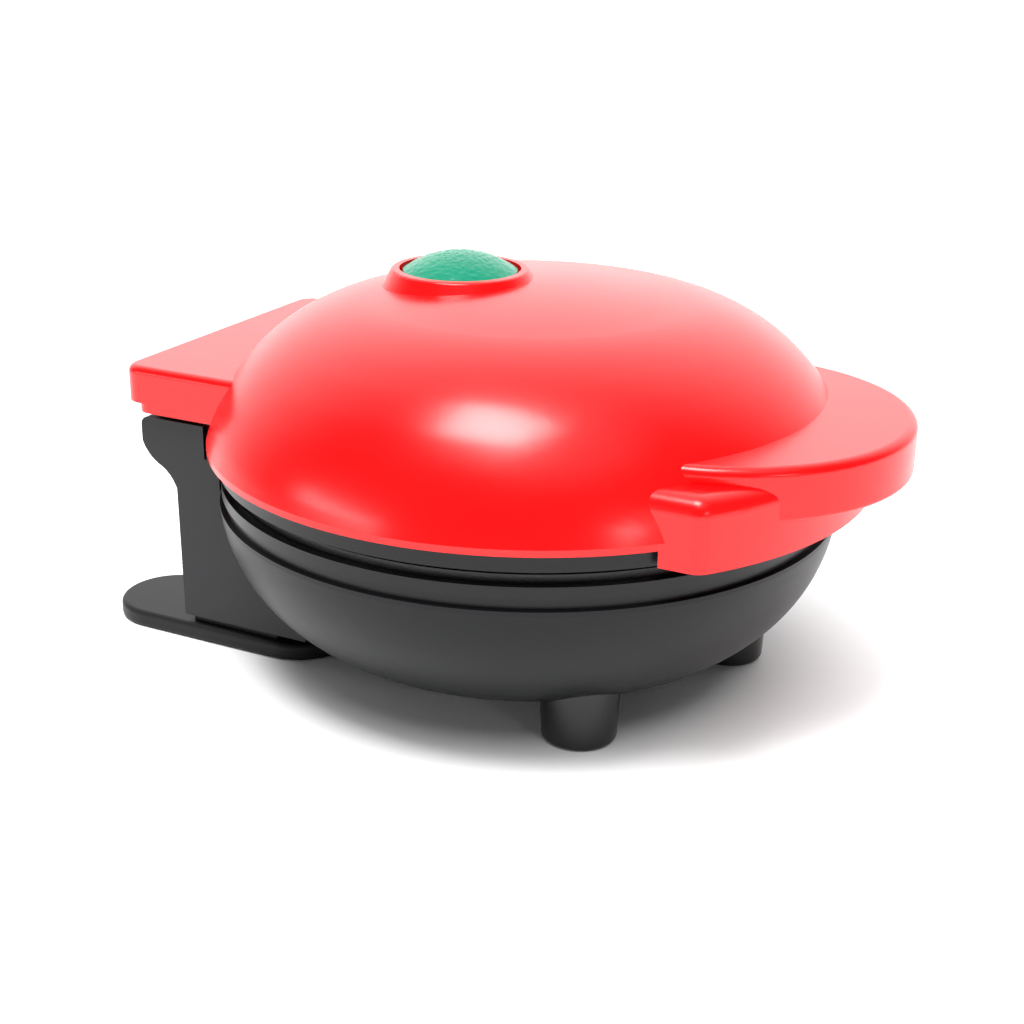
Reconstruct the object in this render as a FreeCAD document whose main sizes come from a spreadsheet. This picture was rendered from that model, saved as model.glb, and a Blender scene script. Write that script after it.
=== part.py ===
import FreeCAD, Part
import math
import os
import re
import Sketcher

# Small round donut maker, millimetres, +Z up, front of the machine towards -Y, hinge towards +Y.
# Every piece is modelled with the round body's axis on X = 0, Y = 0 and the floor at Z = 0.
# One shift along Y, the same for every piece, then puts the origin under the middle of the machine.

Vector = FreeCAD.Vector

SIZES = {
    # heights of the round body
    "rim_height": 53,           # lower edge of the lid above the floor
    "split_height": 47.3,       # plane where the two plates meet
    "bowl_height": 40.2,        # top edge of the base bowl
    "plate_gap": 0.4,           # air between the two plates when shut
    # lid shell
    "lid_radius": 75,
    "lid_wall": 2.2,
    "lid_band": 1.5,
    "lid_rise": 35.2,
    "lid_shoulder": 46,
    "lid_lean": 16.6,
    # handle: round flat lip with a skirt under it
    "handle_radius": 43.8,
    "handle_centre": 46,
    "handle_rise": 15,
    "handle_depth": 11.5,
    "handle_edge": 2,
    "skirt_radius": 80.5,
    "skirt_half": 51.2,
    "skirt_back": 40,
    "skirt_drop": 4,
    "skirt_rise": 11.5,
    "skirt_corner": 4.5,
    "skirt_edge": 4,
    # cover over the hinge
    "cover_half": 39.6,
    "cover_rear": 87.8,
    "cover_rise": 15.2,
    "cover_depth": 8.7,
    "cover_corner": 5,
    "cover_edge": 1.8,
    "lip_inset": 0.7,
    "lip_rear_inset": 2.9,
    "lip_depth": 2.5,
    # indicator on the lid
    "lens_radius": 13.4,
    "lens_rise": 4.4,
    "lens_edge": 2.2,
    "lens_place": 18.5,
    "lens_gap": 0.8,
    "collar_rise": 38.4,
    "collar_top": 16,
    "collar_foot": 19,
    "collar_height": 5.6,
    "shelf_depth": 4.6,
    "cup_radius": 13.2,
    "lamp_radius": 3,
    "lamp_length": 9,
    # rings between lid and bowl
    "ring_radius": 72.5,
    "ring_drop": 4.2,
    "ring_wall": 2.6,
    "ring_inner": 64.6,
    "ledge_height": 6,
    "bezel_radius": 72,
    "bezel_height": 2.6,
    # plates with four ring-shaped cavities each
    "plate_radius": 69.5,
    "plate_thick": 3.5,
    "donut_offset": 26.5,
    "donut_ring": 15,
    "donut_tube": 9.5,
    "cavity_wall": 2,
    "post_radius": 5,
    # heaters and reflectors
    "heater_ring": 37.5,
    "heater_tube": 3,
    "reflector_radius": 62.8,
    "sheet": 0.8,
    "reflector_gap": 1.2,
    # base bowl
    "bowl_radius": 72.5,
    "bowl_wall": 2.5,
    "bowl_band": 1,
    "bowl_depth": 33.5,
    "bowl_shoulder": 38,
    "bowl_lean": 7,
    # feet at the front
    "foot_circle": 49.5,
    "foot_turn": 50,
    "foot_angle": 70.5,
    "foot_radius": 8.3,
    "foot_flare": 1,
    "foot_seat": 17,            # level of the screw seats inside the bowl
    # rear stand with its two pads
    "stand_half": 37,
    "stand_side": 4,
    "stand_wall": 2.5,
    "stand_rear": 84.6,
    "waist_rear": 75.2,
    "stand_front": 40,
    "stand_rise": 2.4,
    "lobe_height": 49.4,
    "waist_height": 38.5,
    "panel_half": 26.5,
    "pad_thick": 4.2,
    "pad_land": 1.8,
    "pad_radius": 13,
    "pad_centre": 25,
    "pad_nose": 100.5,
    "pad_front": 36,
    # hinge
    "pin_radius": 2,
    "pin_seat": 2.8,
    "pin_rear": 78.5,
    "pin_height": 51.5,
    "arm_radius": 5.5,
    "arm_thick": 4.6,
    "arm_gap": 0.4,
    "running_gap": 0.06,
    # cord inlet in the stand
    "gland_height": 24,
    "gland_radius": 5,
    "gland_flange": 7.5,
    "cord_bore": 3.2,
    "wire_radius": 1.6,
    # fasteners
    "screw_radius": 1.5,
    "head_radius": 2.7,
    "head_height": 1.8,
    "boss_radius": 3.6,
    "ring_screw_circle": 68,
    "base_screw_circle": 67,
    "fit_gap": 0.3,
}

doc = FreeCAD.newDocument("donut_maker")
sheet = doc.addObject("Spreadsheet::Sheet", "Sizes")
for row, (word, number) in enumerate(SIZES.items(), start=1):
    sheet.set("A%d" % row, word)
    sheet.set("B%d" % row, str(number))
    sheet.setAlias("B%d" % row, word)
reader = doc.addObject("App::FeaturePython", "Reader")
doc.recompute()

WORD = re.compile(r"\b(%s)\b" % "|".join(sorted(SIZES, key=len, reverse=True)))
pieces = []


def bound(text):
    """The same formula with each size word pointing at its cell in the sheet."""
    return WORD.sub(r"Sizes.\1", text)


def size(text):
    """The number that a formula of size words gives."""
    return float(reader.evalExpression(bound(text)))


def primitive(kind, name, place=("0", "0", "0"), turn=None, **formulas):
    """One Part primitive with its sizes and its place bound to the sheet."""
    item = doc.addObject("Part::" + kind, name)
    for field, formula in formulas.items():
        item.setExpression(field, bound(formula))
    if turn is not None:
        item.Placement = FreeCAD.Placement(Vector(0, 0, 0), turn)
    for letter, formula in zip("xyz", place):
        item.setExpression("Placement.Base." + letter, bound(formula))
    return item


def fuse(name, items):
    item = doc.addObject("Part::MultiFuse", name)
    item.Shapes = items
    return item


def cut(name, base, tools):
    """A base solid less one tool or the union of several."""
    item = doc.addObject("Part::Cut", name)
    item.Base = base
    item.Tool = tools[0] if len(tools) == 1 else fuse(name + "_tools", tools)
    return item


def turned(name, outline):
    """A body turned about Z from a closed outline of (radius, height) formulas."""
    body = doc.addObject("PartDesign::Body", name)
    sketch = body.newObject("Sketcher::SketchObject", name + "_outline")
    plane = [item for item in body.Origin.OriginFeatures if item.Role == "XZ_Plane"][0]
    sketch.AttachmentSupport = [(plane, "")]
    sketch.MapMode = "FlatFace"
    corners = [Vector(size(radius), size(height), 0) for radius, height in outline]
    count = len(corners)
    for index in range(count):
        sketch.addGeometry(Part.LineSegment(corners[index], corners[(index + 1) % count]), False)
    for index in range(count):
        sketch.addConstraint(Sketcher.Constraint("Coincident", index, 2, (index + 1) % count, 1))
    for index, (radius, height) in enumerate(outline):
        for kind, formula, number in (("DistanceX", radius, corners[index].x),
                                      ("DistanceY", height, corners[index].y)):
            place = sketch.addConstraint(Sketcher.Constraint(kind, -1, 1, index, 1, number))
            sketch.setExpression("Constraints[%d]" % place, bound(formula))
    turn = body.newObject("PartDesign::Revolution", name + "_turn")
    turn.Profile = sketch
    turn.ReferenceAxis = (sketch, ["V_Axis"])
    turn.Angle = 360
    body.Tip = turn
    return body


def shaped(name, shape):
    """A feature whose shape is worked out here from the sheet's sizes."""
    item = doc.addObject("Part::Feature", name)
    item.Shape = shape
    return item


def keep(item, label):
    """Name a finished sub-part, which also names its file."""
    item.Label = label
    pieces.append(item)
    return item


def cylinder(radius, height, base, axis=Vector(0, 0, 1)):
    return Part.makeCylinder(radius, height, base, axis)


def box(low, high):
    return Part.makeBox(high[0] - low[0], high[1] - low[1], high[2] - low[2], Vector(*low))


def around(radius, count, start=45):
    """Points evenly spaced on a circle about the body's axis."""
    step = 360 / count
    turns = [math.radians(start + step * index) for index in range(count)]
    return [(radius * math.cos(turn), radius * math.sin(turn)) for turn in turns]


def crowned(radius, base, band, rise, shoulder, lean, inset, way, over=0):
    """Turned solid with a straight band, a leaning shoulder arc and a flat crown arc.

    way is 1 for a dome that rises from its base and -1 for a bowl that hangs from it.
    """
    angle = math.radians(lean)
    hub = radius - shoulder * math.cos(angle)
    low = -shoulder * math.sin(angle)
    reach = rise - low
    crown = (hub ** 2 + reach ** 2 - shoulder ** 2) / (2 * (reach - shoulder))
    top = rise - crown
    turn = math.atan2(hub, low - top)
    curve = shoulder - inset
    flat = crown - inset

    def at(across, up):
        return Vector(across, 0, base + way * (band + up))

    def on_shoulder(bearing):
        return at(hub + curve * math.cos(bearing), low + curve * math.sin(bearing))

    def on_crown(bearing):
        return at(flat * math.sin(bearing), top + flat * math.cos(bearing))

    start = on_shoulder(angle)
    joint = on_shoulder(math.pi / 2 - turn)
    peak = on_crown(0)
    foot = base - way * over
    edges = [
        Part.LineSegment(Vector(0, 0, foot), Vector(start.x, 0, foot)),
        Part.LineSegment(Vector(start.x, 0, foot), start),
        Part.Arc(start, on_shoulder((angle + math.pi / 2 - turn) / 2), joint),
        Part.Arc(joint, on_crown(turn / 2), peak),
        Part.LineSegment(peak, Vector(0, 0, foot)),
    ]
    face = Part.Face(Part.Wire([edge.toShape() for edge in edges]))
    return face.revolve(Vector(0, 0, 0), Vector(0, 0, 1), 360)


def dome(inset, over=0):
    return crowned(size("lid_radius"), size("rim_height"), size("lid_band"), size("lid_rise"),
                   size("lid_shoulder"), size("lid_lean"), inset, 1, over)


def bowl(inset, over=0):
    return crowned(size("bowl_radius"), size("bowl_height"), size("bowl_band"), size("bowl_depth"),
                   size("bowl_shoulder"), size("bowl_lean"), inset, -1, over)


def round_edges(shape, radius, chosen):
    """Fillet the edges that the test picks."""
    return shape.makeFillet(radius, [edge for edge in shape.Edges if chosen(edge)])


def at_height(edge, height):
    return abs(edge.BoundBox.ZMin - height) < 0.01 and abs(edge.BoundBox.ZMax - height) < 0.01


def upright(edge):
    return edge.BoundBox.XLength < 0.01 and edge.BoundBox.YLength < 0.01


def skirt(inset):
    """Upright wall under the handle lip: straight sides, a round front and rounded corners."""
    half = size("skirt_half") - inset
    foot = size("rim_height - skirt_drop") - (1 if inset else 0)
    roof = size("rim_height + skirt_rise") - inset
    round_front = cylinder(size("skirt_radius") - inset, roof - foot, Vector(0, 0, foot))
    sides = box((-half, -size("skirt_radius"), foot), (half, -size("skirt_back"), roof))
    solid = round_front.common(sides)
    ahead = -size("skirt_back + 1")
    solid = round_edges(solid, size("skirt_corner") - inset,
                        lambda edge: upright(edge) and edge.BoundBox.YMin < ahead)
    solid = round_edges(solid, size("skirt_edge"),
                        lambda edge: at_height(edge, roof) and edge.BoundBox.YMin < ahead)
    room = cylinder(size("lid_radius - 1"), size("rim_height") - foot, Vector(0, 0, foot))
    return solid.cut(room)


def lid_shell():
    """Glossy one-piece lid: dome, handle lip with skirt, hinge cover and the lens collar."""
    rim = size("rim_height")
    wall = size("lid_wall")
    outer = dome(0)
    lip_top = rim + size("handle_rise")
    lip_low = lip_top - size("handle_depth")
    front = Vector(0, -size("handle_centre"), lip_low)
    lip = cylinder(size("handle_radius"), size("handle_depth"), front)
    lip = round_edges(lip, size("handle_edge"), lambda edge: at_height(edge, lip_top))
    lip = round_edges(lip, size("handle_edge") / 2, lambda edge: at_height(edge, lip_low))
    half = size("cover_half")
    rear = size("cover_rear")
    top = rim + size("cover_rise")
    low = top - size("cover_depth")
    cover = box((-half, 30, low), (half, rear, top))
    cover = round_edges(cover, size("cover_corner"),
                        lambda edge: upright(edge) and edge.BoundBox.YMin > rear - 1)
    cover = round_edges(cover, size("cover_edge"),
                        lambda edge: at_height(edge, top) and edge.BoundBox.YMax > 31)
    inset = size("lip_inset")
    seam = low - size("lip_depth")
    under = box((-half + inset, 45, seam), (half - inset, rear - size("lip_rear_inset"), low + 1))
    under = round_edges(under, size("cover_corner - 1"),
                        lambda edge: upright(edge) and edge.BoundBox.YMin > 50)
    solid = outer.fuse([lip, skirt(0), cover, under]).removeSplitter()
    solid = solid.fuse(collar())

    inside = dome(wall, over=2)
    roof = Vector(0, -size("handle_centre"), rim - 5)
    channel = cylinder(size("handle_radius") - wall, lip_top - wall - rim + 5, roof)
    channel = channel.cut([outer, skirt(0)])
    hollow = skirt(wall).cut(outer)
    side = half - wall
    hinge_room = box((-side, 30, seam - 1), (side, rear - size("lip_rear_inset") - 1.6, top - wall))
    hinge_room = hinge_room.cut(outer)
    solid = solid.cut([inside, channel, hollow, hinge_room])

    shelf = collar_shelf()
    solid = solid.fuse([shelf] + lid_bosses())
    return solid.cut(lens_hole()).removeSplitter()


def collar():
    """Raised ring round the lens, leaning in towards its top."""
    top = size("rim_height + collar_rise")
    height = size("collar_height")
    foot = Vector(0, size("lens_place"), top - height)
    cone = Part.makeCone(size("collar_foot"), size("collar_top"), height, foot, Vector(0, 0, 1))
    return round_edges(cone, 0.9, lambda edge: at_height(edge, top))


def collar_shelf():
    """Inner ledge that the lens stands on."""
    seat = size("rim_height + collar_rise - lens_edge - 0.4")
    deep = size("shelf_depth")
    return cylinder(size("collar_top"), deep, Vector(0, size("lens_place"), seat - deep))


def lens_hole():
    top = size("rim_height + collar_rise")
    seat = size("rim_height + collar_rise - lens_edge - 0.4")
    centre = size("lens_place")
    mouth = cylinder(size("lens_radius + lens_gap"), top - seat + 1, Vector(0, centre, seat))
    throat = cylinder(size("lens_radius - 2"), 14, Vector(0, centre, seat - 10))
    return [mouth, throat]


def lid_bosses():
    """Four screw posts that run up into the dome's wall."""
    foot = size("rim_height + ledge_height - 2 + sheet")
    posts = []
    for across, along in around(size("ring_screw_circle"), 4):
        post = cylinder(size("boss_radius"), 14, Vector(across, along, foot)).common(dome(0.5))
        hole = cylinder(size("screw_radius"), 8, Vector(across, along, foot))
        posts.append(post.cut(hole))
    return posts


def cast_plate(name, up):
    """Round cooking plate with four half-ring cavities; up is 1 for the lid's plate."""
    side = "+" if up > 0 else "-"
    face = "split_height %s plate_gap / 2" % side
    low = face if up > 0 else face + " - plate_thick"
    disc = primitive("Cylinder", name + "_disc", ("0", "0", low),
                     Radius="plate_radius", Height="plate_thick")
    post_foot = "%s %s plate_thick / 2" % (face, side)
    reach = "donut_tube + cavity_wall + 2 * heater_tube + reflector_gap - plate_thick / 2"
    post_low = post_foot if up > 0 else "%s - (%s)" % (post_foot, reach)
    post = primitive("Cylinder", name + "_post", ("0", "0", post_low),
                     Radius="post_radius", Height=reach)
    backs = []
    cavities = []
    for number, (across, along) in enumerate(((1, 1), (-1, 1), (-1, -1), (1, -1))):
        place = ("%d * donut_offset" % across, "%d * donut_offset" % along, face)
        back = primitive("Torus", "%s_back_%d" % (name, number), place,
                         Radius1="donut_ring", Radius2="donut_tube + cavity_wall")
        backs.append(back)
        cavity = primitive("Torus", "%s_cavity_%d" % (name, number), place,
                           Radius1="donut_ring", Radius2="donut_tube")
        cavities.append(cavity)
    body = fuse(name + "_body", [disc, post] + backs)
    trim_low = "%s - 20" % face if up > 0 else face
    trim = primitive("Cylinder", name + "_trim", ("0", "0", trim_low),
                     Radius="plate_radius + 5", Height="20")
    hole_low = "%s %s 6" % (face, side)
    hole_low = hole_low if up > 0 else "%s - 20" % hole_low
    hole = primitive("Cylinder", name + "_hole", ("0", "0", hole_low),
                     Radius="screw_radius", Height="20")
    return cut(name + "_solid", body, cavities + [trim, hole])


def heater(name, up):
    """Open ring of tubular heater with two cold pins, clamped against the cavity backs."""
    side = "+" if up > 0 else "-"
    level = "split_height %s (plate_gap / 2 + donut_tube + cavity_wall + heater_tube)" % side
    ring = primitive("Torus", name + "_ring", ("0", "0", level),
                     turn=FreeCAD.Rotation(Vector(0, 0, 1), 100),
                     Radius1="heater_ring", Radius2="heater_tube", Angle3="340")
    pins = []
    for number, bearing in enumerate((100, 80)):
        turn = math.radians(bearing)
        place = ("%.6f * heater_ring" % math.cos(turn), "%.6f * heater_ring" % math.sin(turn), level)
        pins.append(primitive("Cylinder", "%s_pin_%d" % (name, number), place,
                              turn=FreeCAD.Rotation(Vector(0, 0, 1), bearing - 90)
                              .multiply(FreeCAD.Rotation(Vector(1, 0, 0), -90)),
                              Radius="heater_tube", Height="9"))
    return fuse(name + "_solid", [ring] + pins)


def reflector(name, up):
    """Pressed dish behind the heater, with a flange that the ring screws hold."""
    side = "+" if up > 0 else "-"
    back = "(rim_height + ledge_height - 2)" if up > 0 else "(bowl_height - ledge_height + 3)"
    deep = ("(split_height %s (plate_gap / 2 + donut_tube + cavity_wall + 2 * heater_tube"
            " + reflector_gap))") % side
    far = "%s %s sheet" % (deep, side)
    lip = "%s %s sheet" % (back, side)
    wide = "ring_screw_circle + 3.2" if up > 0 else "base_screw_circle + 1.6"
    dish = turned(name + "_dish", [
        ("screw_radius + 0.2", deep), ("reflector_radius - sheet", deep),
        ("reflector_radius - sheet", back), (wide, back), (wide, lip),
        ("reflector_radius", lip), ("reflector_radius", far), ("screw_radius + 0.2", far)])
    circle = size("ring_screw_circle") if up > 0 else size("base_screw_circle")
    word = "ring_screw_circle" if up > 0 else "base_screw_circle"
    holes = []
    for number, (across, along) in enumerate(around(circle, 4)):
        place = ("%.6f * %s" % (across / circle, word), "%.6f * %s" % (along / circle, word),
                 "%s - 3" % back)
        holes.append(primitive("Cylinder", "%s_hole_%d" % (name, number), place,
                               Radius="screw_radius + 0.2", Height="6"))
    return cut(name + "_solid", dish, holes)


def ring_holes(name, word, low, height, head_low):
    """Four clearance holes with head pockets on a named screw circle."""
    holes = []
    for number, (across, along) in enumerate(around(1, 4)):
        across = "%.6f * %s" % (across, word)
        along = "%.6f * %s" % (along, word)
        holes.append(primitive("Cylinder", "%s_hole_%d" % (name, number), (across, along, low),
                               Radius="screw_radius + 0.2", Height=height))
        holes.append(primitive("Cylinder", "%s_pocket_%d" % (name, number),
                               (across, along, head_low),
                               Radius="head_radius + 0.1", Height="head_height + 0.2"))
    return holes


def screw(radius, length, tip, axis):
    """Pan head screw with a cross recess; the axis points from the tip to the head."""
    head = size("head_radius")
    high = size("head_height")
    shank = cylinder(radius, length, tip, axis)
    seat = tip + Vector(axis).multiply(length)
    cap = cylinder(head, high, seat, axis)
    cap = cap.makeFillet(high * 0.45, [edge for edge in cap.Edges
                                      if edge.BoundBox.Center.sub(seat).dot(axis) > high - 0.01])
    slot = Part.makeBox(head * 1.1, head * 0.28, high, Vector(-head * 0.55, -head * 0.14, 0))
    cross = slot.fuse(slot.rotated(Vector(0, 0, 0), Vector(0, 0, 1), 90))
    turn = FreeCAD.Rotation(Vector(0, 0, 1), axis)
    cross.Placement = FreeCAD.Placement(seat + Vector(axis).multiply(high * 0.45), turn)
    return shank.fuse(cap).cut(cross)


def foot_places():
    """Three evenly spaced feet under the front and one side of the bowl."""
    start = math.radians(-90 - size("foot_turn"))
    step = math.radians(size("foot_angle"))
    radius = size("foot_circle")
    turns = [start + step * index for index in range(3)]
    return [(radius * math.cos(turn), radius * math.sin(turn)) for turn in turns]


def base_bowl():
    """Deep bowl with posts for the ring, the feet and the stand, and a hole for the lead."""
    solid = bowl(0).cut(bowl(size("bowl_wall"), over=2))
    seat = size("bowl_height - ledge_height + 3 - sheet")
    posts = []
    holes = []
    for across, along in around(size("base_screw_circle"), 4):
        posts.append(cylinder(size("boss_radius"), 12, Vector(across, along, seat - 12)).common(bowl(0.5)))
        holes.append(cylinder(size("screw_radius"), 8, Vector(across, along, seat - 8)))
    for across, along in foot_places():
        high = size("foot_seat")
        posts.append(cylinder(4.6, high - 1, Vector(across, along, 1)).common(bowl(0.5)))
        holes.append(cylinder(size("screw_radius + 0.2"), high, Vector(across, along, 0)))
    for across in (-1, 1):
        post = cylinder(4, 20, stand_screw_foot(across) + Vector(0, -6, 0), Vector(0, 1, 0))
        posts.append(post.common(bowl(0.5)))
        start = stand_screw_foot(across) + Vector(0, -7, 0)
        holes.append(cylinder(size("screw_radius + 0.2"), 25, start, Vector(0, 1, 0)))
    pad = cylinder(9, 9, Vector(0, 24, 1)).common(bowl(0.5))
    lead = cylinder(size("gland_radius"), 30, Vector(0, 50, size("gland_height")), Vector(0, 1, 0))
    return solid.fuse(posts + [pad]).cut(holes + [lead]).removeSplitter()


def stand_screw_foot(across):
    """Where a stand screw's thread starts, just inside the bowl's wall."""
    return Vector(across * 20, size("stand_front") + 20, 22)


def stand_outline(inset):
    """Side outline of the stand, a shoulder lobe at the top and a waist below it."""
    foot = size("pad_thick + pad_land") + inset
    head = size("rim_height + stand_rise") + (6 if inset else 0)
    front = size("stand_front") - (20 if inset else 0)
    lobe = size("stand_rear") - inset
    waist = size("waist_rear") - inset
    high = size("lobe_height")
    low = size("waist_height")
    corners = [(front, foot), (waist - 0.4, foot), (waist, low), (lobe, high), (lobe, head),
               (front, head)]
    return corners, high, low


def stand_solid(half, inset):
    """The stand's outline as one solid across the machine, its rear edge an S of two arcs."""
    corners, high, low = stand_outline(inset)
    (front, foot), (heel, _), (waist, _), (lobe, _), (_, head), _ = corners

    def at(along, up):
        return Vector(-half, along, up)

    middle = at((waist + lobe) / 2, (low + high) / 2)
    rise = high - low
    hollow = Part.Arc(at(waist, low), at(waist + 1.9, low + rise * 0.3), middle)
    round_out = Part.Arc(middle, at(lobe - 1.9, high - rise * 0.3), at(lobe, high))
    edges = [
        Part.LineSegment(at(front, foot), at(heel, foot)),
        Part.LineSegment(at(heel, foot), at(waist, low)),
        hollow,
        round_out,
        Part.LineSegment(at(lobe, high), at(lobe, head)),
        Part.LineSegment(at(lobe, head), at(front, head)),
        Part.LineSegment(at(front, head), at(front, foot)),
    ]
    face = Part.Face(Part.Wire([edge.toShape() for edge in edges]))
    return face.extrude(Vector(2 * half, 0, 0))


def body_room():
    """What the stand leaves free: the bowl, the base ring above it and the lid's rim."""
    top = size("bowl_height")
    split = size("split_height")
    ring = cylinder(size("bowl_radius + fit_gap"), split - top, Vector(0, 0, top))
    lid = cylinder(size("lid_radius + 1.3"), 20, Vector(0, 0, split))
    return bowl(0).fuse([ring, lid])


def rear_stand():
    """Hollow stand: two side plates, a rear wall, a floor, pin seats and a gland hole."""
    half = size("stand_half")
    side = size("stand_side")
    wall = size("stand_wall")
    solid = stand_solid(half, 0)
    lobe = size("stand_rear")
    head = size("rim_height + stand_rise")
    solid = round_edges(solid, 2, lambda edge: at_height(edge, head) and edge.BoundBox.YMin > lobe - 0.1)
    room = stand_solid(half - side, wall)
    pin = Vector(0, size("pin_rear"), size("pin_height"))
    arm_low = pin.z - size("arm_radius") - 2
    sill = pin.z - 1.5
    panel = size("panel_half")
    tall = 20
    slots = [
        box((-half + side, 66, sill), (half - side, lobe + 5, sill + tall)),
        box((panel, 66, arm_low), (half - side, lobe + 5, arm_low + tall)),
        box((-half + side, 66, arm_low), (-panel, lobe + 5, arm_low + tall)),
    ]
    seat = cylinder(size("pin_radius + 0.02"), 2 * (half - side + size("pin_seat")),
                    pin - Vector(half - side + size("pin_seat"), 0, 0), Vector(1, 0, 0))
    hole = cylinder(size("gland_radius"), 30, Vector(0, 60, size("gland_height")), Vector(0, 1, 0))
    solid = solid.cut([room, body_room()] + slots + [seat, hole])
    posts = []
    for across in (-1, 1):
        foot = stand_screw_foot(across)
        post = cylinder(4, size("waist_rear - stand_wall") - foot.y + 1, foot, Vector(0, 1, 0))
        posts.append(post.cut(body_room()))
    for across, along in pad_screw_places():
        posts.append(cylinder(3.4, 7, Vector(across, along, size("pad_thick + pad_land"))).cut(body_room()))
    solid = solid.fuse(posts)
    holes = []
    for across in (-1, 1):
        holes.append(cylinder(size("screw_radius"), 15, stand_screw_foot(across), Vector(0, 1, 0)))
    for across, along in pad_screw_places():
        holes.append(cylinder(size("screw_radius"), 6, Vector(across, along, size("pad_thick + pad_land"))))
    return solid.cut(holes).removeSplitter()


def pad_screw_places():
    centre = size("pad_centre")
    return [(way * centre, along) for way in (-1, 1) for along in (57, 69)]


def stand_pad(way):
    """Rounded pad under one side of the stand, with a raised land that the stand sits on."""
    centre = way * size("pad_centre")
    radius = size("pad_radius")
    thick = size("pad_thick")
    nose = size("pad_nose") - radius
    front = size("pad_front") + radius
    plate = box((centre - radius, front, 0), (centre + radius, nose, thick))
    plate = plate.fuse([cylinder(radius, thick, Vector(centre, along, 0)) for along in (front, nose)])
    plate = plate.removeSplitter()
    plate = round_edges(plate, 1.2, lambda edge: at_height(edge, thick) or at_height(edge, 0))
    rear = size("waist_rear") - 2
    land = box((centre - 10.5, 49, thick - 1), (centre + 10.5, rear, size("pad_thick + pad_land")))
    solid = plate.fuse(land)
    for across, along in pad_screw_places():
        solid = solid.cut(cylinder(size("screw_radius + 0.2"), 12, Vector(across, along, -1)))
        solid = solid.cut(cylinder(size("head_radius + 0.2"), 3, Vector(across, along, -1)))
    return solid.removeSplitter()


def front_foot(across, along):
    """Tapered glossy foot whose top follows the bowl's underside."""
    radius = size("foot_radius")
    high = size("bowl_height - bowl_depth") + 14
    cone = Part.makeCone(radius, radius + size("foot_flare"), high, Vector(across, along, 0),
                         Vector(0, 0, 1))
    cone = round_edges(cone, 1.2, lambda edge: at_height(edge, 0))
    hole = cylinder(size("screw_radius"), 30, Vector(across, along, 3))
    return cone.cut([bowl(0), hole])


def hinge_arm(way):
    """Flat arm that hangs from the cover's roof and turns on the pin."""
    near = size("stand_half - stand_side - arm_gap")
    thick = size("arm_thick")
    radius = size("arm_radius")
    along = size("pin_rear")
    up = size("pin_height")
    roof = size("rim_height + cover_rise - lid_wall")
    start = near - thick
    arm = cylinder(radius, thick, Vector(start, along, up), Vector(1, 0, 0))
    arm = arm.fuse(box((start, along - radius, up), (near, along + radius - 1, roof)))
    arm = arm.fuse(box((start - 8, along - radius, roof - 2.4), (near, along + radius - 1, roof)))
    bore = cylinder(size("pin_radius + running_gap"), thick + 4, Vector(start - 2, along, up),
                    Vector(1, 0, 0))
    hole = cylinder(size("screw_radius"), 6, Vector(start - 4, along, roof - 4))
    arm = arm.cut([bore, hole]).removeSplitter()
    if way < 0:
        arm = arm.mirror(Vector(0, 0, 0), Vector(1, 0, 0))
    return arm


def arm_screw(way):
    start = size("stand_half - stand_side - arm_gap - arm_thick") - 4
    roof = size("rim_height + cover_rise - lid_wall")
    tip = Vector(way * start, size("pin_rear"), roof)
    return screw(size("screw_radius"), 2.4, tip, Vector(0, 0, -1))


def lens():
    """Domed green lens with a cylindrical edge."""
    top = size("rim_height + collar_rise - 0.4")
    radius = size("lens_radius")
    edge = size("lens_edge")
    rise = size("lens_rise")
    ball = (radius ** 2 + rise ** 2) / (2 * rise)
    centre = Vector(0, size("lens_place"), top - edge)
    disc = cylinder(radius, edge + rise, centre)
    cap = Part.makeSphere(ball, centre + Vector(0, 0, edge + rise - ball))
    return disc.common(cap)


def lamp():
    """Neon lamp with a rounded tip, held in its cup under the lens."""
    radius = size("lamp_radius")
    length = size("lamp_length")
    foot = Vector(0, size("lens_place"), lamp_floor() + 1.5)
    tube = cylinder(radius, length - radius, foot)
    return tube.fuse(Part.makeSphere(radius, foot + Vector(0, 0, length - radius)))


def lamp_floor():
    return size("rim_height + collar_rise - lens_edge - 0.4 - shelf_depth") - 10


def lamp_cup():
    """Cup that hangs from the collar's shelf and holds the lamp on the lens axis."""
    floor = lamp_floor()
    top = size("rim_height + collar_rise - lens_edge - 0.4 - shelf_depth")
    centre = size("lens_place")
    outer = cylinder(size("cup_radius"), top - floor, Vector(0, centre, floor))
    outer = outer.cut(cylinder(size("cup_radius - 1.4"), 20, Vector(0, centre, floor + 1.5)))
    socket = cylinder(size("lamp_radius + 1.4"), 4, Vector(0, centre, floor + 1.4))
    bore = cylinder(size("lamp_radius + 0.1"), 10, Vector(0, centre, floor + 1.5))
    return outer.fuse(socket).cut(bore)


def pipe(points, radius):
    """Round wire along straight runs joined by tangent arcs, each 0.45 of its shorter run."""
    edges = []
    start = points[0]
    for before, corner, after in zip(points, points[1:], points[2:]):
        back = before.sub(corner)
        ahead = after.sub(corner)
        reach = 0.45 * min(back.Length, ahead.Length)
        first = corner + Vector(back).normalize().multiply(reach)
        last = corner + Vector(ahead).normalize().multiply(reach)
        half = back.getAngle(ahead) / 2
        out = Vector(back).normalize() + Vector(ahead).normalize()
        depth = reach / math.cos(half) - reach * math.tan(half)
        middle = corner + out.normalize().multiply(depth)
        edges.append(Part.LineSegment(start, first).toShape())
        edges.append(Part.Arc(first, middle, last).toShape())
        start = last
    edges.append(Part.LineSegment(start, points[-1]).toShape())
    path = Part.Wire(edges)
    ring = Part.Wire(Part.makeCircle(radius, points[0], points[1].sub(points[0])))
    return path.makePipeShell([ring], True, False, 1)


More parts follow.
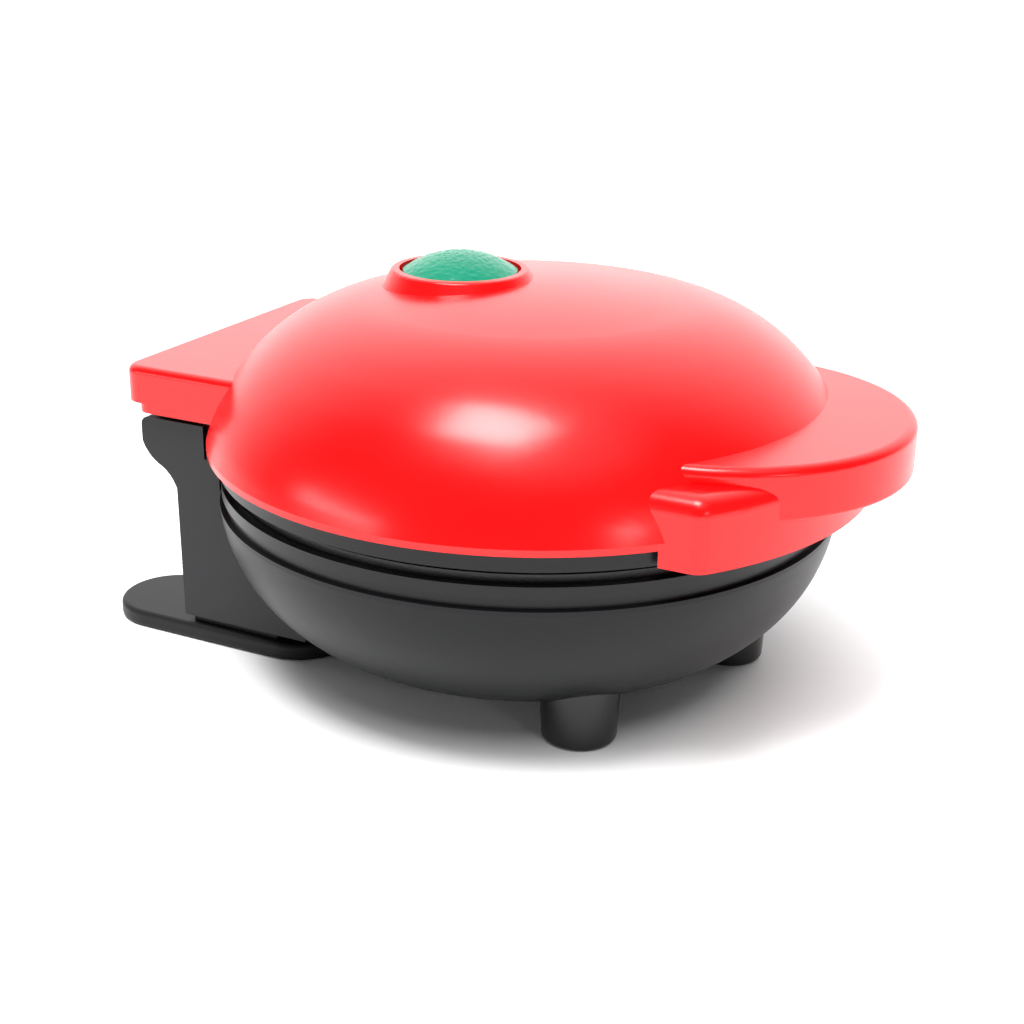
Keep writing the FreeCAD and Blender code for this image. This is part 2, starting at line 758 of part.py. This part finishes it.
def inner_lead():
    """Supply lead from the gland through the bowl's rear hole down to the terminal block."""
    up = size("gland_height")
    rear = size("waist_rear") - 6
    points = [Vector(0, rear, up), Vector(0, 58, up), Vector(0, 47, 15), Vector(0, 35, 15)]
    return pipe(points, size("wire_radius + 0.6"))


def terminal_block():
    """Three-way block on its pad inside the bowl."""
    solid = box((-11, 19, 10), (11, 29, 19))
    for across in (-7, 0, 7):
        solid = solid.cut(cylinder(1.8, 5, Vector(across, 24, 14.5)))
    socket = cylinder(size("wire_radius + 0.7"), 2, Vector(0, 29, 15), Vector(0, -1, 0))
    return solid.cut(socket)


def block_lead():
    """Where the lead ends, a sheath end clamped into the block."""
    return box((-4, 29, 12), (4, 35, 18))


def cord_gland():
    """Flanged bush in the stand's rear wall with a bore for the supply cord."""
    up = size("gland_height")
    rear = size("waist_rear")
    wall = size("stand_wall")
    bush = cylinder(size("gland_radius - 0.05"), wall + 7.5, Vector(0, rear - wall - 3, up), Vector(0, 1, 0))
    flange = cylinder(size("gland_flange"), 2.5, Vector(0, rear + 0.1, up), Vector(0, 1, 0))
    collar_in = cylinder(size("gland_flange - 1"), 1.6, Vector(0, rear - wall - 2.1, up), Vector(0, 1, 0))
    bore = cylinder(size("cord_bore"), 40, Vector(0, rear - 30, up), Vector(0, 1, 0))
    return bush.fuse([flange, collar_in]).cut(bore)


def thermostat(name):
    """Snap disc thermostat under the lower plate, between two cavities at the front."""
    back = size("split_height - plate_gap / 2 - plate_thick")
    place = Vector(0, -54.5, back)
    can = cylinder(6.4, 6, place - Vector(0, 0, 6))
    plate = cylinder(7.6, 1.2, place - Vector(0, 0, 1.2))
    tabs = box((-4.5, place.y - 0.5, back - 9), (-2.5, place.y + 0.5, back - 5.9))
    other = box((2.5, place.y - 0.5, back - 9), (4.5, place.y + 0.5, back - 5.9))
    return can.fuse([plate, tabs, other])


def thermal_fuse():
    """Sleeved thermal fuse clipped along the back of the lower reflector."""
    dish = size("split_height - plate_gap / 2 - donut_tube - cavity_wall - 2 * heater_tube"
                " - reflector_gap - sheet")
    sleeve = cylinder(2, 22, Vector(-11, 30, dish - 2), Vector(1, 0, 0))
    ends = cylinder(0.6, 30, Vector(-15, 30, dish - 2), Vector(1, 0, 0))
    return sleeve.fuse(ends)


def post_screw(up):
    """Screw that draws the reflector onto the plate's centre post."""
    side = 1 if up > 0 else -1
    deep = size("split_height") + side * size("plate_gap / 2 + donut_tube + cavity_wall"
                                              " + 2 * heater_tube + reflector_gap + sheet")
    tip = Vector(0, 0, deep - side * 6)
    return screw(size("screw_radius - 0.05"), 6, tip, Vector(0, 0, side))


def build():
    """Make every sub-part and give each its own label."""
    keep(shaped("LidShell", lid_shell()), "lid_shell")
    keep(shaped("Lens", lens()), "indicator_lens")
    keep(shaped("LampCup", lamp_cup()), "lamp_cup")
    keep(shaped("Lamp", lamp()), "indicator_lamp")

    low = "rim_height - ring_drop"
    back = "rim_height + ledge_height - 2"
    seat = "split_height + plate_gap / 2 + plate_thick"
    ring = turned("LidRingTurned", [
        ("plate_radius + 0.4", low), ("ring_radius", low), ("ring_radius", "rim_height + 0.3"),
        ("ring_radius - 1.2", "rim_height + 0.3"), ("ring_radius - 1.2", back),
        ("ring_inner", back), ("ring_inner", seat), ("plate_radius + 0.4", seat)])
    holes = ring_holes("LidRing", "ring_screw_circle", low, "12", seat)
    keep(cut("LidRing", ring, holes), "lid_ring")
    keep(cast_plate("UpperPlate", 1), "upper_plate")
    keep(heater("UpperHeater", 1), "upper_heater")
    keep(reflector("UpperReflector", 1), "upper_reflector")
    head = size(seat + " + head_height + 0.2")
    screws = []
    for across, along in around(size("ring_screw_circle"), 4):
        screws.append(screw(size("screw_radius - 0.05"), 9, Vector(across, along, head + 9),
                            Vector(0, 0, -1)))
    keep(shaped("RingScrews", Part.makeCompound(screws)), "lid_ring_screws")
    keep(shaped("UpperPostScrew", post_screw(1)), "upper_post_screw")

    keep(shaped("Bowl", base_bowl()), "base_bowl")
    top = "bowl_height + bezel_height"
    face = "split_height - plate_gap / 2 - plate_thick"
    bottom = "bowl_height - ledge_height + 3"
    bezel = turned("BezelTurned", [
        ("ring_inner", bottom), ("bowl_radius - bowl_wall - 0.4", bottom),
        ("bowl_radius - bowl_wall - 0.4", "bowl_height"), ("bowl_radius - 1.3", "bowl_height"),
        ("bowl_radius - 1.3", top), ("bezel_radius", top),
        ("bezel_radius", "bowl_height + 2 * bezel_height"),
        ("plate_radius + 0.4", "bowl_height + 2 * bezel_height"),
        ("plate_radius + 0.4", face), ("ring_inner", face)])
    holes = ring_holes("Bezel", "base_screw_circle", bottom + " - 2", "14", face + " - head_height - 0.2")
    keep(cut("Bezel", bezel, holes), "base_ring")
    keep(cast_plate("LowerPlate", -1), "lower_plate")
    keep(heater("LowerHeater", -1), "lower_heater")
    keep(reflector("LowerReflector", -1), "lower_reflector")
    head = size(face + " - head_height - 0.2")
    screws = []
    for across, along in around(size("base_screw_circle"), 4):
        screws.append(screw(size("screw_radius - 0.05"), 12, Vector(across, along, head - 12),
                            Vector(0, 0, 1)))
    keep(shaped("BaseScrews", Part.makeCompound(screws)), "base_ring_screws")
    keep(shaped("LowerPostScrew", post_screw(-1)), "lower_post_screw")
    keep(shaped("Thermostat", thermostat("Thermostat")), "thermostat")
    keep(shaped("ThermalFuse", thermal_fuse()), "thermal_fuse")
    keep(shaped("TerminalBlock", terminal_block()), "terminal_block")
    keep(shaped("LeadEnd", block_lead()), "lead_clamp")
    keep(shaped("InnerLead", inner_lead()), "inner_lead")

    screws = []
    for word, (across, along) in zip(("left", "middle", "right"), foot_places()):
        keep(shaped("Foot" + word, front_foot(across, along)), "front_foot_" + word)
        seat_height = size("foot_seat")
        screws.append(screw(size("screw_radius - 0.05"), seat_height - 4, Vector(across, along, 4),
                            Vector(0, 0, 1)))
    keep(shaped("FootScrews", Part.makeCompound(screws)), "foot_screws")

    keep(shaped("Stand", rear_stand()), "rear_stand")
    keep(shaped("PadLeft", stand_pad(-1)), "stand_pad_left")
    keep(shaped("PadRight", stand_pad(1)), "stand_pad_right")
    screws = []
    for across, along in pad_screw_places():
        screws.append(screw(size("screw_radius - 0.05"), 8, Vector(across, along, 10), Vector(0, 0, -1)))
    keep(shaped("PadScrews", Part.makeCompound(screws)), "pad_screws")
    screws = []
    for across in (-1, 1):
        tip = stand_screw_foot(across) + Vector(0, 8, 0)
        screws.append(screw(size("screw_radius - 0.05"), 14, tip, Vector(0, -1, 0)))
    keep(shaped("StandScrews", Part.makeCompound(screws)), "stand_screws")
    keep(shaped("Gland", cord_gland()), "cord_gland")

    half = "stand_half - stand_side + pin_seat - 0.2"
    pin = primitive("Cylinder", "HingePin", ("-(%s)" % half, "pin_rear", "pin_height"),
                    turn=FreeCAD.Rotation(Vector(0, 1, 0), 90),
                    Radius="pin_radius", Height="2 * (%s)" % half)
    keep(pin, "hinge_pin")
    keep(shaped("ArmLeft", hinge_arm(-1)), "hinge_arm_left")
    keep(shaped("ArmRight", hinge_arm(1)), "hinge_arm_right")
    keep(shaped("ArmScrews", Part.makeCompound([arm_screw(-1), arm_screw(1)])), "hinge_arm_screws")


build()
doc.recompute()
shift = "(handle_centre + handle_radius - pad_nose) / 2"
for item in pieces:
    base = "pin_rear + " if item.Label == "hinge_pin" else ""
    item.setExpression("Placement.Base.y", bound(base + shift))
doc.recompute()

for item in doc.Objects:
    if "Invalid" in item.State or "Error" in item.State:
        raise RuntimeError("%s did not build: %s" % (item.Label, item.State))
for item in pieces:
    if item.Shape.isNull() or not item.Shape.isValid():
        raise RuntimeError("%s has no valid shape" % item.Label)
    if not item.Shape.Solids:
        raise RuntimeError("%s is not solid" % item.Label)

os.makedirs("parts", exist_ok=True)
for item in pieces:
    item.Shape.exportStep("parts/%s.step" % item.Label)
    print(item.Label, len(item.Shape.Solids), round(item.Shape.Volume, 1))
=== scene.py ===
import math

import bpy
import mathutils
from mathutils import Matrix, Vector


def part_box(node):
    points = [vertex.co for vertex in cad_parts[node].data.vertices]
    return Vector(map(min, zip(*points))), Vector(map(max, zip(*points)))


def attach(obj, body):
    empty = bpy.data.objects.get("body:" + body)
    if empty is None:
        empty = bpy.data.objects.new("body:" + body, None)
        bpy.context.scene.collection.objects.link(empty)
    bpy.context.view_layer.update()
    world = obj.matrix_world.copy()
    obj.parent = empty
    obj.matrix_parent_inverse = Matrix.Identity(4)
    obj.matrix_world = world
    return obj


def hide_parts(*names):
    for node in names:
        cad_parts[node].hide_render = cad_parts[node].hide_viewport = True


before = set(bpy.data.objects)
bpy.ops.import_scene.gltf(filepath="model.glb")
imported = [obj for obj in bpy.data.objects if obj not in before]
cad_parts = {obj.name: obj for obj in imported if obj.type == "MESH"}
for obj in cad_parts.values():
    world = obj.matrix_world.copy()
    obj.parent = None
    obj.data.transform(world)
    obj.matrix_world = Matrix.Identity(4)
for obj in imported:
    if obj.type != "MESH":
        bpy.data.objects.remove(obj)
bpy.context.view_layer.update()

# The view: a long lens a little above the donut maker, from its handle's right-hand side.
# The lamp sits near the middle of the picture, and the horizon leans by under a degree.
view_from = mathutils.Vector((-0.34257, -0.17028, 0.17860))
view_to = mathutils.Vector((-0.00732, -0.00482, 0.03636))
view_lean = math.radians(0.88)
view = bpy.data.cameras.new("view")
view.sensor_width = 36.0
view.lens = 59.64
view.clip_start = 0.01
view.clip_end = 20.0
viewer = bpy.data.objects.new("view", view)
bpy.context.scene.collection.objects.link(viewer)
viewer.location = view_from
looking = (view_to - view_from).to_track_quat("-Z", "Y")
viewer.rotation_euler = (looking @ mathutils.Quaternion((0, 0, 1), view_lean)).to_euler()
bpy.context.scene.camera = viewer
bpy.context.scene.view_settings.view_transform = "Standard"

# The table it stands on: a smooth white worktop, far wider than the view, so no edge shows.
table_reach = 6.0
table_mesh = bpy.data.meshes.new("worktop")
table_mesh.from_pydata([(-table_reach, -table_reach, 0), (table_reach, -table_reach, 0),
                        (table_reach, table_reach, 0), (-table_reach, table_reach, 0)],
                       [], [(0, 1, 2, 3)])
worktop = bpy.data.objects.new("worktop", table_mesh)
bpy.context.scene.collection.objects.link(worktop)
table_white = bpy.data.materials.new("worktop_white")
table_white.use_nodes = True
table_face = table_white.node_tree.nodes["Principled BSDF"]
table_face.inputs["Base Color"].default_value = (0.93, 0.93, 0.93, 1)
table_face.inputs["Roughness"].default_value = 0.6
table_face.inputs["Specular IOR Level"].default_value = 0.2
table_mesh.materials.append(table_white)


# The light: a dim room with a bright wall behind the donut maker, a soft box overhead for the
# broad glow on the dome, a low strip on each side that glints above its rim, and a wide ceiling
# panel for the even light on the worktop.
def soft_box(name, place, aim, width, height, watts):
    lamp = bpy.data.lights.new(name, "AREA")
    lamp.shape = "RECTANGLE"
    lamp.size = width
    lamp.size_y = height
    lamp.energy = watts
    box = bpy.data.objects.new(name, lamp)
    bpy.context.scene.collection.objects.link(box)
    box.location = place
    turn = mathutils.Vector(aim) - mathutils.Vector(place)
    box.rotation_euler = turn.to_track_quat("-Z", "Y").to_euler()


room = bpy.data.worlds.new("studio_room")
room.use_nodes = True
room_tree = room.node_tree
room_way = room_tree.nodes.new("ShaderNodeTexCoord")
toward_wall = room_tree.nodes.new("ShaderNodeVectorMath")
toward_wall.operation = "DOT_PRODUCT"
toward_wall.inputs[1].default_value = (0.84, 0.41, 0.36)
room_tree.links.new(room_way.outputs["Generated"], toward_wall.inputs[0])
wall_glow = room_tree.nodes.new("ShaderNodeMapRange")
wall_glow.interpolation_type = "SMOOTHSTEP"
wall_glow.inputs["From Min"].default_value = 0.15
wall_glow.inputs["From Max"].default_value = 0.95
wall_glow.inputs["To Min"].default_value = 0.13
wall_glow.inputs["To Max"].default_value = 1.85
room_tree.links.new(toward_wall.outputs["Value"], wall_glow.inputs["Value"])
behind_it = room_tree.nodes.new("ShaderNodeLightPath")
plain_white = room_tree.nodes.new("ShaderNodeMix")
plain_white.inputs["B"].default_value = 1.0
room_tree.links.new(behind_it.outputs["Is Camera Ray"], plain_white.inputs["Factor"])
room_tree.links.new(wall_glow.outputs["Result"], plain_white.inputs["A"])
room_tree.links.new(plain_white.outputs["Result"], room_tree.nodes["Background"].inputs["Strength"])
room_tree.nodes["Background"].inputs["Color"].default_value = (1, 1, 1, 1)
bpy.context.scene.world = room
soft_box("overhead_box", (-0.30, 0.02, 1.0), (-0.05, -0.02, 0.07), 0.42, 0.34, 9)
soft_box("left_strip", (-0.75, 0.60, 0.26), (-0.07, 0.0, 0.06), 0.55, 0.05, 1.2)
soft_box("right_strip", (-0.45, -0.75, 0.30), (-0.05, -0.05, 0.06), 0.12, 0.05, 0.4)
sun = bpy.data.lights.new("ceiling_panel", "SUN")
sun.energy = 2.5
sun.angle = math.radians(50)
panel = bpy.data.objects.new("ceiling_panel", sun)
bpy.context.scene.collection.objects.link(panel)
panel.visible_glossy = False
panel.rotation_euler = (math.radians(12), math.radians(-14), 0)


# Plastic as it leaves the mould: a colour that drifts slightly, a gloss that varies from
# place to place, and the faint unevenness of a polished or spark-eroded tool.
def moulded(name, colour, drift, gloss, spread, grain, depth):
    made = bpy.data.materials.new(name)
    made.use_nodes = True
    tree = made.node_tree
    skin = tree.nodes["Principled BSDF"]
    where = tree.nodes.new("ShaderNodeTexCoord")
    cloud = tree.nodes.new("ShaderNodeTexNoise")
    cloud.inputs["Scale"].default_value = 28.0
    cloud.inputs["Detail"].default_value = 3.0
    tree.links.new(where.outputs["Object"], cloud.inputs["Vector"])
    tint = tree.nodes.new("ShaderNodeValToRGB")
    tint.color_ramp.elements[0].position = 0.3
    tint.color_ramp.elements[0].color = [c * (1 - drift) for c in colour] + [1]
    tint.color_ramp.elements[1].position = 0.7
    tint.color_ramp.elements[1].color = [min(1, c * (1 + drift)) for c in colour] + [1]
    tree.links.new(cloud.outputs["Fac"], tint.inputs["Fac"])
    tree.links.new(tint.outputs["Color"], skin.inputs["Base Color"])
    rough = tree.nodes.new("ShaderNodeMapRange")
    rough.inputs["To Min"].default_value = gloss - spread
    rough.inputs["To Max"].default_value = gloss + spread
    tree.links.new(cloud.outputs["Fac"], rough.inputs["Value"])
    tree.links.new(rough.outputs["Result"], skin.inputs["Roughness"])
    fine = tree.nodes.new("ShaderNodeTexNoise")
    fine.inputs["Scale"].default_value = grain
    fine.inputs["Detail"].default_value = 2.0
    tree.links.new(where.outputs["Object"], fine.inputs["Vector"])
    bump = tree.nodes.new("ShaderNodeBump")
    bump.inputs["Strength"].default_value = 1.0
    bump.inputs["Distance"].default_value = depth
    tree.links.new(fine.outputs["Fac"], bump.inputs["Height"])
    tree.links.new(bump.outputs["Normal"], skin.inputs["Normal"])
    return made


def dress(nodes, finish):
    for node in nodes:
        for slot in bpy.data.objects[node].material_slots:
            slot.material = finish


# Lid: one glossy red shell in polypropylene, moulded with its handle lip, hinge cover and collar.
lid_red = moulded("lid_red", (0.84, 0.002, 0.003), 0.02, 0.25, 0.03, 240, 0.000004)
dress(["lid_shell"], lid_red)

# Rings round the plates: black heat-proof plastic with a satin tool finish, screwed to the shells.
ring_black = moulded("ring_black", (0.008, 0.008, 0.009), 0.12, 0.34, 0.05, 2400, 0.00001)
ring_black.node_tree.nodes["Principled BSDF"].inputs["Specular IOR Level"].default_value = 0.3
dress(["lid_ring", "base_ring"], ring_black)

# Bowl: the black lower shell, a fine satin grain outside.
bowl_black = moulded("bowl_black", (0.006, 0.0065, 0.0075), 0.12, 0.40, 0.05, 2600, 0.000015)
bowl_black.node_tree.nodes["Principled BSDF"].inputs["Specular IOR Level"].default_value = 0.26
dress(["base_bowl"], bowl_black)

# Rear stand and hinge arms: matt black plastic off a spark-eroded tool, a little greyer.
stand_black = moulded("stand_black", (0.022, 0.022, 0.024), 0.1, 0.55, 0.05, 2600, 0.00003)
stand_black.node_tree.nodes["Principled BSDF"].inputs["Specular IOR Level"].default_value = 0.3
dress(["rear_stand", "hinge_arm_left", "hinge_arm_right", "terminal_block"], stand_black)

# Pads, gland and lead: moulded black rubber, dull, with a dusty bloom in its colour.
pad_rubber = moulded("pad_rubber", (0.006, 0.006, 0.007), 0.3, 0.5, 0.08, 1500, 0.00002)
pad_rubber.node_tree.nodes["Principled BSDF"].inputs["Specular IOR Level"].default_value = 0.3
dress(["stand_pad_left", "stand_pad_right", "cord_gland", "inner_lead"], pad_rubber)

# Feet: glossy black plastic posts, each held by a screw from below.
foot_black = moulded("foot_black", (0.005, 0.005, 0.006), 0.1, 0.26, 0.04, 1200, 0.00001)
dress(["front_foot_left", "front_foot_middle", "front_foot_right"], foot_black)

# Cooking plates: cast aluminium under a sprayed non-stick coat with a pebbly, oily gloss.
plate_coat = moulded("plate_coat", (0.016, 0.016, 0.017), 0.25, 0.36, 0.08, 1800, 0.00006)
dress(["upper_plate", "lower_plate"], plate_coat)

# Lamp cup, fuse and clamp: natural white nylon, a little waxy.
cup_white = moulded("cup_white", (0.78, 0.76, 0.70), 0.04, 0.42, 0.05, 900, 0.00001)
dress(["lamp_cup", "lead_clamp", "thermostat", "thermal_fuse"], cup_white)
lamp_amber = moulded("lamp_amber", (0.80, 0.35, 0.12), 0.05, 0.08, 0.02, 300, 0.000002)
dress(["indicator_lamp"], lamp_amber)


# Steel parts: zinc-plated screws, the ground hinge pin, heater tubes and folded reflectors,
# with a drawn or rolled grain that shows in the gloss.
def steel(name, colour, gloss, spread, stretch):
    made = moulded(name, colour, 0.08, gloss, spread, 1500, 0.000008)
    made.node_tree.nodes["Principled BSDF"].inputs["Metallic"].default_value = 1.0
    tree = made.node_tree
    grain = tree.nodes.new("ShaderNodeMapping")
    grain.inputs["Scale"].default_value = stretch
    where = next(n for n in tree.nodes if n.bl_idname == "ShaderNodeTexCoord")
    tree.links.new(where.outputs["Object"], grain.inputs["Vector"])
    fine = [n for n in tree.nodes if n.bl_idname == "ShaderNodeTexNoise"][1]
    tree.links.new(grain.outputs["Vector"], fine.inputs["Vector"])
    return made


screw_zinc = steel("screw_zinc", (0.55, 0.56, 0.57), 0.32, 0.08, (1, 1, 1))
dress(["lid_ring_screws", "base_ring_screws", "upper_post_screw", "lower_post_screw",
       "hinge_arm_screws", "stand_screws", "pad_screws", "foot_screws"], screw_zinc)
dress(["hinge_pin"], steel("pin_steel", (0.62, 0.62, 0.63), 0.22, 0.05, (0.1, 1, 1)))
heater_tube = steel("heater_tube", (0.30, 0.27, 0.25), 0.45, 0.1, (1, 1, 0.2))
dress(["upper_heater", "lower_heater"], heater_tube)
reflector_sheet = steel("reflector_sheet", (0.75, 0.75, 0.74), 0.25, 0.06, (0.1, 1, 1))
dress(["upper_reflector", "lower_reflector"], reflector_sheet)

# Indicator lens: a clear green styrene dome, pebbled so that the lamp under it glows evenly.
# A geometry tree presses the pebbles into a turned dome, so they are in the mesh.
lens_low, lens_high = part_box("indicator_lens")
lens_x = (lens_low[0] + lens_high[0]) / 2
lens_y = (lens_low[1] + lens_high[1]) / 2
lens_reach = (lens_high[0] - lens_low[0]) / 2
lens_rise = 0.0044
lens_wall = 0.0022
lens_foot_width = 0.0014
lens_foot_hollow = 0.0015
cap_edge_kept = 0.0002
pebbles_per_metre = 950.0
pebble_depth = 0.0003
lens_wall_foot = lens_high[2] - lens_rise - lens_wall
lens_round = (lens_reach ** 2 + lens_rise ** 2) / (2 * lens_rise)
lens_points = [(lens_x, lens_y, lens_high[2])]
lens_rings = 44
lens_turns = 160
for ring in range(1, lens_rings + 1):
    reach = lens_reach * ring / lens_rings
    height = lens_high[2] - lens_round + math.sqrt(lens_round ** 2 - reach ** 2)
    for step in range(lens_turns):
        turn = 2 * math.pi * step / lens_turns
        lens_points.append((lens_x + reach * math.cos(turn), lens_y + reach * math.sin(turn), height))
for reach in (lens_reach, lens_reach - lens_foot_width):
    for step in range(lens_turns):
        turn = 2 * math.pi * step / lens_turns
        lens_points.append((lens_x + reach * math.cos(turn), lens_y + reach * math.sin(turn), lens_wall_foot))
lens_points.append((lens_x, lens_y, lens_wall_foot + lens_foot_hollow))
lens_faces = []
for step in range(lens_turns):
    beside = (step + 1) % lens_turns
    lens_faces.append((0, 1 + step, 1 + beside))
    for ring in range(lens_rings + 1):
        near = 1 + ring * lens_turns
        lens_faces.append((near + step, near + lens_turns + step, near + lens_turns + beside, near + beside))
    last = 1 + (lens_rings + 1) * lens_turns
    lens_faces.append((last + step, len(lens_points) - 1, last + beside))
lens_mesh = bpy.data.meshes.new("lens_dome")
lens_mesh.from_pydata(lens_points, [], lens_faces)
lens_dome = bpy.data.objects.new("lens_dome", lens_mesh)
bpy.context.scene.collection.objects.link(lens_dome)
lens_green = moulded("lens_green", (0.0, 0.22, 0.125), 0.15, 0.24, 0.05, 900, 0.00001)
lens_skin = lens_green.node_tree.nodes["Principled BSDF"]
lens_skin.inputs["Specular IOR Level"].default_value = 0.3
lens_skin.inputs["IOR"].default_value = 1.5
pebbles = bpy.data.node_groups.new("lens_pebbles", "GeometryNodeTree")
pebbles.interface.new_socket("Geometry", in_out="INPUT", socket_type="NodeSocketGeometry")
per_metre = pebbles.interface.new_socket("Pebbles per metre", in_out="INPUT", socket_type="NodeSocketFloat")
how_deep = pebbles.interface.new_socket("Pebble depth", in_out="INPUT", socket_type="NodeSocketFloat")
pebbles.interface.new_socket("Geometry", in_out="OUTPUT", socket_type="NodeSocketGeometry")
given = pebbles.nodes.new("NodeGroupInput")
made = pebbles.nodes.new("NodeGroupOutput")
cells = pebbles.nodes.new("ShaderNodeTexVoronoi")
spot = pebbles.nodes.new("GeometryNodeInputPosition")
level = pebbles.nodes.new("ShaderNodeSeparateXYZ")
on_cap = pebbles.nodes.new("ShaderNodeMath")
on_cap.operation = "GREATER_THAN"
on_cap.inputs[1].default_value = lens_high[2] - lens_rise + cap_edge_kept
press = pebbles.nodes.new("ShaderNodeMath")
press.operation = "MULTIPLY"
down = pebbles.nodes.new("ShaderNodeMath")
down.operation = "MULTIPLY"
down.inputs[1].default_value = -1.0
shift = pebbles.nodes.new("ShaderNodeCombineXYZ")
move = pebbles.nodes.new("GeometryNodeSetPosition")
smooth = pebbles.nodes.new("GeometryNodeSetShadeSmooth")
whole = pebbles.nodes.new("GeometryNodeRealizeInstances")
coat = pebbles.nodes.new("GeometryNodeSetMaterial")
coat.inputs["Material"].default_value = lens_green
pebbles.links.new(spot.outputs["Position"], cells.inputs["Vector"])
pebbles.links.new(given.outputs["Pebbles per metre"], cells.inputs["Scale"])
pebbles.links.new(cells.outputs["Distance"], press.inputs[0])
pebbles.links.new(given.outputs["Pebble depth"], press.inputs[1])
pebbles.links.new(press.outputs["Value"], down.inputs[0])
pebbles.links.new(down.outputs["Value"], shift.inputs["Z"])
pebbles.links.new(spot.outputs["Position"], level.inputs["Vector"])
pebbles.links.new(level.outputs["Z"], on_cap.inputs[0])
pebbles.links.new(given.outputs["Geometry"], move.inputs["Geometry"])
pebbles.links.new(on_cap.outputs["Value"], move.inputs["Selection"])
pebbles.links.new(shift.outputs["Vector"], move.inputs["Offset"])
pebbles.links.new(move.outputs["Geometry"], smooth.inputs["Geometry"])
pebbles.links.new(smooth.outputs["Geometry"], whole.inputs["Geometry"])
pebbles.links.new(whole.outputs["Geometry"], coat.inputs["Geometry"])
pebbles.links.new(coat.outputs["Geometry"], made.inputs["Geometry"])
pressing = lens_dome.modifiers.new("pebbles", "NODES")
pressing.node_group = pebbles
pressing[per_metre.identifier] = pebbles_per_metre
pressing[how_deep.identifier] = pebble_depth
seen = lens_dome.evaluated_get(bpy.context.evaluated_depsgraph_get())
pebbled = bpy.data.meshes.new_from_object(seen)
lens_dome.modifiers.remove(pressing)
lens_dome.data = pebbled
lens_dome.data.name = "lens_pebbled"
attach(lens_dome, "lid")
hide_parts("indicator_lens")
